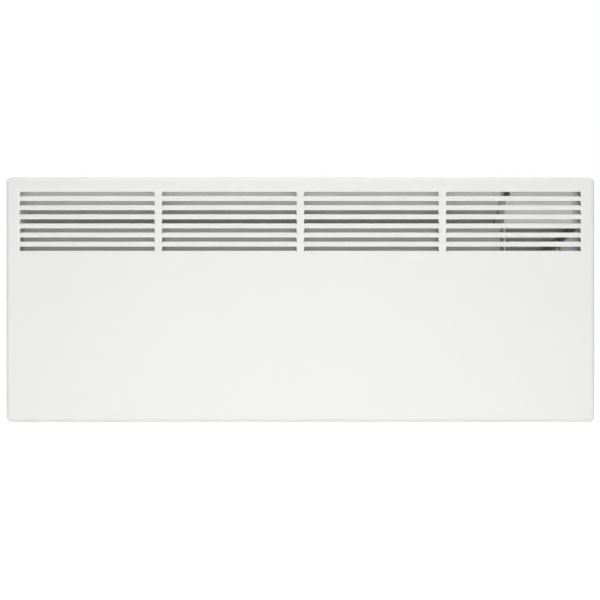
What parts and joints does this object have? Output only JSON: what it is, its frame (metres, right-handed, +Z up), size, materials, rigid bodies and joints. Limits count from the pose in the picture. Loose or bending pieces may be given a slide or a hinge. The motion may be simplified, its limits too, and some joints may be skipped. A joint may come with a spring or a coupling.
{
  "type": "wall panel convector heater",
  "caption": "Low wide wall-hung convector heater: rolled-edge sheet front with a band of louvres, side control tray, finned element, wall brackets with turning catches.",
  "frame": {"origin": "middle of the four wall screws, on the wall plane; the heater's front is centred on it in X and Z", "axes": "+X to the right seen from the front, +Y into the wall, +Z up"},
  "size_m": [0.8, 0.098, 0.336],
  "materials": {
    "white_enamel": "satin powder coat",
    "zinc_sheet": "galvanised sheet",
    "shield_sheet": "dull galvanised sheet",
    "aluminised_sheet": "aluminised sheet, dulled by heat",
    "screw_steel": "bright zinc plate",
    "catch_plastic": "moulded, dark grey",
    "spacer_rubber": "matt black",
    "fin_aluminium": "extruded",
    "rod_steel": "heat-tinted",
    "bush_ceramic": "unglazed",
    "terminal_brass": "bright",
    "cutout_shell": "moulded phenolic",
    "tray_plastic": "fine texture",
    "knob_plastic": "fine texture",
    "spindle_steel": "turned",
    "switch_plastic": "moulded black",
    "rocker_plastic": "moulded white",
    "lamp_body_plastic": "moulded black",
    "lens_red": "clear red",
    "block_plastic": "moulded polyamide",
    "bush_plastic": "moulded black",
    "sleeve_glass": "woven glass sleeve",
    "wire_brown": "silicone insulation",
    "wire_earth": "green and yellow insulation",
    "sensor_copper": "copper"
  },
  "bodies": {
    "heater": {"air_deflector": "zinc_sheet", "back_cover": "white_enamel", "block_screws": "screw_steel", "bulb_clip": "screw_steel", "catch_rivets": "screw_steel", "ceramic_bushes": "bush_ceramic", "chassis_screws": "screw_steel", "clamp_screws": "screw_steel", "common_lead": "sleeve_glass", "control_shield": "shield_sheet", "control_tray": "tray_plastic", "cord_clamp": "block_plastic", "cord_inlet_bush": "bush_plastic", "cover_bond_lead": "wire_earth", "cover_screws": "screw_steel", "cutout_lead": "wire_brown", "cutout_screws": "screw_steel", "earth_nuts": "screw_steel", "earth_rings": "terminal_brass", "earth_studs": "screw_steel", "element_link": "terminal_brass", "end_plate_left": "zinc_sheet", "front_cover": "white_enamel", "front_heat_shield": "aluminised_sheet", "heater_rings": "terminal_brass", "heating_element_fins": "fin_aluminium", "heating_rods": "rod_steel", "high_heat_lead": "sleeve_glass", "lamp_lens": "lens_red", "lead_grommets": "spacer_rubber", "live_lead": "wire_brown", "low_heat_lead": "sleeve_glass", "overheat_cutout": "cutout_shell", "partition_plate": "zinc_sheet", "pilot_lamp": "lamp_body_plastic", "pin_nuts": "terminal_brass", "rear_reflector": "aluminised_sheet", "sensor_bulb": "sensor_copper", "sensor_capillary": "sensor_copper", "supply_earth_lead": "wire_earth", "switch_housing_high": "switch_plastic", "switch_housing_low": "switch_plastic", "switch_link": "terminal_brass", "switch_supply_lead": "wire_brown", "terminal_block": "block_plastic", "terminal_screws": "terminal_brass", "thermostat_body": "cutout_shell", "thermostat_nut": "screw_steel", "tray_screws": "screw_steel", "wall_bracket_left": "zinc_sheet", "wall_bracket_right": "zinc_sheet", "wall_spacers": "spacer_rubber"},
    "lock_catch_left": {"lock_catch_left": "catch_plastic"},
    "lock_catch_right": {"lock_catch_right": "catch_plastic"},
    "control_knob": {"thermostat_knob": "knob_plastic", "thermostat_spindle": "spindle_steel"},
    "low_heat_rocker": {"rocker_low": "rocker_plastic"},
    "high_heat_rocker": {"rocker_high": "rocker_plastic"}
  },
  "joints": [
    {"name": "left_catch_turn", "type": "hinge", "parent": "heater", "child": "lock_catch_left", "pos_m": [-0.22, -0.0068, 0.112], "axis": [0, 1, 0], "range_deg": [0, 90]},
    {"name": "right_catch_turn", "type": "hinge", "parent": "heater", "child": "lock_catch_right", "pos_m": [0.22, -0.0068, 0.112], "axis": [0, -1, 0], "range_deg": [0, 90]},
    {"name": "knob_turn", "type": "hinge", "parent": "heater", "child": "control_knob", "pos_m": [0.3526, -0.056, 0.03], "axis": [-1, 0, 0], "range_deg": [-135, 135]},
    {"name": "low_heat_rocker_tilt", "type": "hinge", "parent": "heater", "child": "low_heat_rocker", "pos_m": [0.3513, -0.0665, -0.018], "axis": [0, -1, 0], "range_deg": [0, 18]},
    {"name": "high_heat_rocker_tilt", "type": "hinge", "parent": "heater", "child": "high_heat_rocker", "pos_m": [0.3513, -0.0455, -0.018], "axis": [0, -1, 0], "range_deg": [0, 18]}
  ]
}
